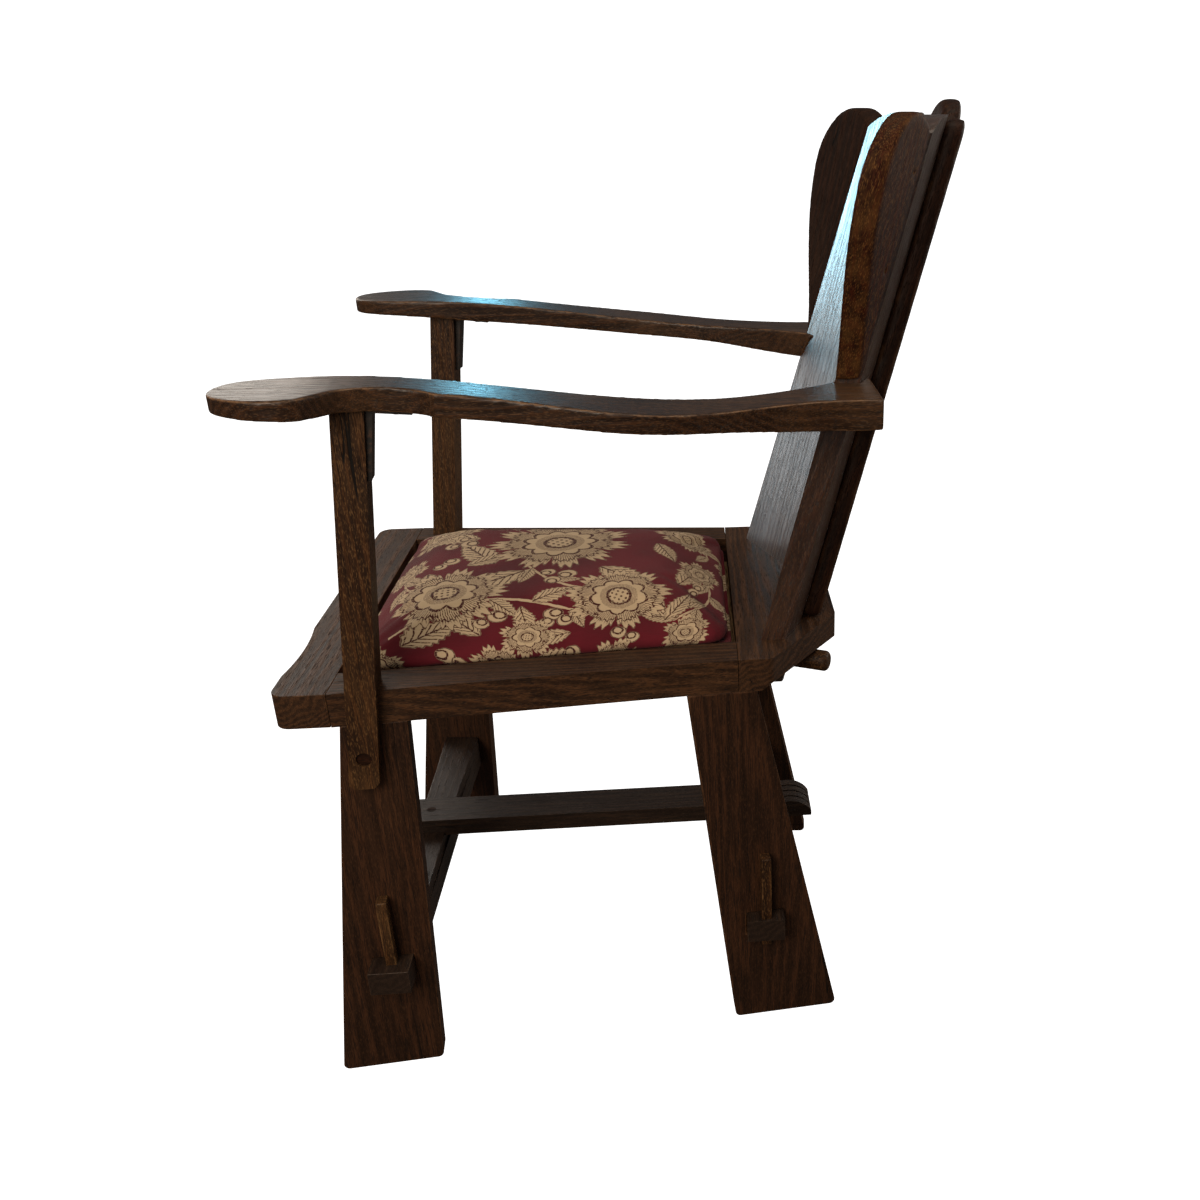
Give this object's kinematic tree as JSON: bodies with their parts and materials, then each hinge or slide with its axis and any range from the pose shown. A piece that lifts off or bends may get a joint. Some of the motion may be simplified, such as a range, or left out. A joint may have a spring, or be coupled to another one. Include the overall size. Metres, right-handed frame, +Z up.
{
  "type": "rustic oak armchair",
  "caption": "Rustic oak armchair with a scalloped board back, a wedged trestle underframe, flat paddle arms and a drop-in upholstered seat.",
  "frame": {"origin": "on the floor, under the middle of the overall box", "axes": "+X to the sitter's left, -Y to the front, +Z up"},
  "size_m": [0.538, 0.6464, 0.918],
  "materials": {
    "dark_oak": "fumed and waxed, worn pale at the edges",
    "plain_oak": "unfinished",
    "iron": "blackened",
    "screw_steel": "dull",
    "webbing": "woven jute",
    "cushion_cloth": "crimson cloth with a cream line pattern"
  },
  "bodies": {
    "chair_frame": {"arm_angle_irons": "iron", "arm_left": "dark_oak", "arm_post_left": "dark_oak", "arm_post_right": "dark_oak", "arm_right": "dark_oak", "arm_screws": "screw_steel", "back_board_centre": "dark_oak", "back_board_left": "dark_oak", "back_board_right": "dark_oak", "back_keys": "dark_oak", "back_pegs": "dark_oak", "back_wing_left": "dark_oak", "back_wing_right": "dark_oak", "centre_stretcher": "dark_oak", "cross_stretcher_front": "dark_oak", "cross_stretcher_rear": "dark_oak", "front_bearer": "dark_oak", "ledge_screws": "screw_steel", "leg_front_left": "dark_oak", "leg_front_right": "dark_oak", "leg_rear_left": "dark_oak", "leg_rear_right": "dark_oak", "post_pegs": "dark_oak", "seat_frame_dowels": "plain_oak", "seat_front_rail": "dark_oak", "seat_ledge_front": "plain_oak", "seat_ledge_left": "plain_oak", "seat_ledge_rear": "plain_oak", "seat_ledge_right": "plain_oak", "seat_rear_rail": "dark_oak", "seat_side_rail_left": "dark_oak", "seat_side_rail_right": "dark_oak", "stretcher_pegs": "dark_oak", "tusk_wedges": "dark_oak", "wing_dowels": "dark_oak"},
    "seat_pad": {"pad_cushion": "cushion_cloth", "pad_rail_front": "plain_oak", "pad_rail_left": "plain_oak", "pad_rail_rear": "plain_oak", "pad_rail_right": "plain_oak", "pad_tacks": "screw_steel", "pad_webbing": "webbing"}
  },
  "joints": [
    {"name": "seat_lift", "type": "slide", "parent": "chair_frame", "child": "seat_pad", "axis": [0, 0, 1], "range_m": [0, 0.08]}
  ]
}
